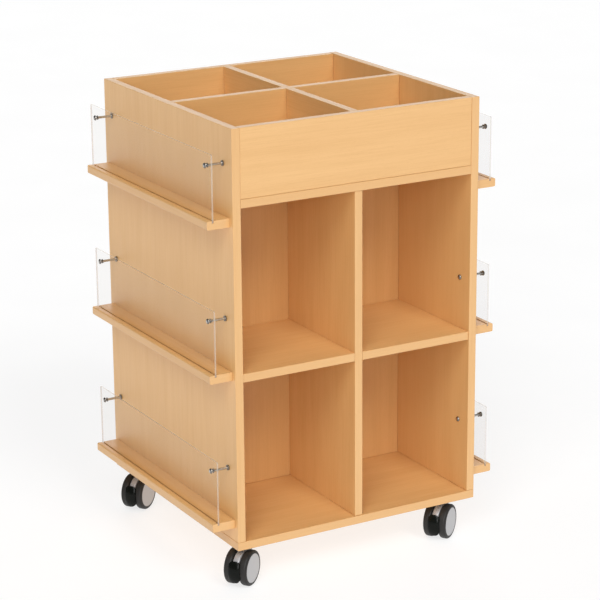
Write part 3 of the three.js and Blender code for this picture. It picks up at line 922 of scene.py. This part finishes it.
def plate_mesh(node):
    """The mounting plate, its race and kingpin: the CAD shape with its flat faces merged."""
    shape = bmesh.new()
    shape.from_mesh(frame["nodes"][node].data)
    bmesh.ops.remove_doubles(shape, verts=shape.verts, dist=MERGE_DISTANCE)
    bmesh.ops.dissolve_limit(
        shape,
        angle_limit=MERGE_ANGLE,
        verts=shape.verts,
        edges=shape.edges,
    )
    return finished_mesh(f"{node}_pressed", shape)


def make_screws(place, materials):
    """Four domed screw heads under a caster's plate."""
    swivel = Vector(JOINTS[f"{place}_swivel"]["pos_m"])
    plate_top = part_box(f"caster_{place}_plate")[1].z
    height, radius = SCREW_HEAD_HEIGHT, SCREW_HEAD_RADIUS
    head = [(height * math.sin(a), radius * math.cos(a)) for a in quarter_turn()]
    profile = [(0, 0), *head[:-1], (height, 0)]
    head_down = Matrix.Rotation(math.pi, 4, "X")
    shape = bmesh.new()
    for across in (-1, 1):
        for along in (-1, 1):
            screw = turned_mesh("screw", profile, SCREW_SIDES)
            x = swivel.x + across * SCREW_SPACING / 2
            y = swivel.y + along * SCREW_SPACING / 2
            screw.transform(Matrix.Translation((x, y, plate_top - PLATE_THICKNESS)) @ head_down)
            shape.from_mesh(screw)
            bpy.data.meshes.remove(screw)
    piece = place_piece(f"caster_{place}_screws", finished_mesh(f"caster_{place}_screws", shape))
    finish_piece(piece, "stand", "zinc_plated_steel", (materials["zinc"],))


def make_casters(materials):
    meshes = {
        "tyre": turned_mesh("tyre", tyre_profile(), WHEEL_SIDES),
        "disc": turned_mesh("hub_disc", hub_disc_profile(), WHEEL_SIDES),
        "housing": make_housing_mesh(),
        "pedal": make_pedal_mesh(),
    }
    zinc = (materials["zinc"],)
    silver = (materials["silver"],)
    black = (materials["pedal"],)
    for place in PLACES:
        matrix = caster_matrix(place)
        node = f"caster_{place}"
        plate = place_piece(f"{node}_plate_pressed", plate_mesh(f"{node}_plate"))
        soften(plate, PLATE_EDGE_RADIUS, 2)
        finish_piece(plate, "stand", "zinc_plated_steel", zinc, f"{node}_plate")
        make_screws(place, materials)
        housing = place_piece(f"{node}_housing_cast", meshes["housing"], matrix)
        finish_piece(housing, node, "silver_housing", silver, f"{node}_housing")
        pedal = place_piece(f"{node}_pedal_moulded", meshes["pedal"], matrix)
        finish_piece(pedal, f"brake_{place}", "black_plastic", black, f"{node}_brake_pedal")
        make_wheels(place, matrix, meshes, materials)


# ---- Floor, light and camera -----------------------------------------------------------------
def make_floor():
    """A floor that glows a little, so that it is nearly white like a lit studio's."""
    half = FLOOR_HALF_WIDTH
    corners = [(-half, -half), (half, -half), (half, half), (-half, half)]
    mesh = slab_mesh("floor", corners, 2, -FLOOR_THICKNESS, 0.0)
    floor = place_piece("floor", mesh)
    material, tree, shader = new_material("pale_floor", FLOOR_TONES[0], FLOOR_ROUGHNESS)
    mottle = add_noise(tree, object_coordinates(tree), FLOOR_MOTTLE, 3.0)
    tint = add_mix(tree, add_range(tree, mottle, (0.3, 0.7), (0.0, 1.0)), *FLOOR_TONES)
    tree.links.new(tint, shader.inputs["Base Color"])
    shader.inputs["Emission Color"].default_value = (1.0, 1.0, 1.0, 1.0)
    shader.inputs["Emission Strength"].default_value = FLOOR_GLOW
    mesh.materials.append(material)


def make_soft_sun(name, toward, strength, spread):
    """A distant softbox; toward points from the stand to the light."""
    light = bpy.data.lights.new(name, "SUN")
    light.energy = strength
    light.angle = math.radians(spread)
    lamp = bpy.data.objects.new(name, light)
    bpy.context.scene.collection.objects.link(lamp)
    lamp.rotation_euler = (-Vector(toward)).to_track_quat("-Z", "Y").to_euler()


def make_light():
    world = bpy.data.worlds.new("studio")
    world.use_nodes = True
    background = world.node_tree.nodes["Background"]
    background.inputs["Color"].default_value = (1.0, 1.0, 1.0, 1.0)
    background.inputs["Strength"].default_value = WORLD_GLOW
    bpy.context.scene.world = world
    for name, toward, strength, spread in SUNS:
        make_soft_sun(name, toward, strength, spread)


def make_camera():
    heading, tilt, roll = CAMERA_HEADING, CAMERA_TILT, CAMERA_ROLL
    forward = Vector((
        math.sin(heading) * math.cos(tilt),
        math.cos(heading) * math.cos(tilt),
        math.sin(tilt),
    ))
    level = Vector((math.cos(heading), -math.sin(heading), 0.0))
    upward = level.cross(forward)
    right = math.cos(roll) * level + math.sin(roll) * upward
    up = math.cos(roll) * upward - math.sin(roll) * level
    data = bpy.data.cameras.new("camera")
    data.lens = CAMERA_LENS
    data.sensor_width = CAMERA_SENSOR_WIDTH
    camera = bpy.data.objects.new("camera", data)
    bpy.context.scene.collection.objects.link(camera)
    turn = Matrix((right, up, -forward)).transposed().to_4x4()
    camera.matrix_world = Matrix.Translation(CAMERA_PLACE) @ turn
    bpy.context.scene.camera = camera


# ---- The scene -------------------------------------------------------------------------------
bpy.context.scene.view_settings.view_transform = "Standard"
make_camera()
make_light()
make_floor()
palette = make_materials()
make_boards(palette)
make_ledges(palette)
make_guards(palette)
make_standoffs(palette)
make_casters(palette)

bpy.context.view_layer.update()
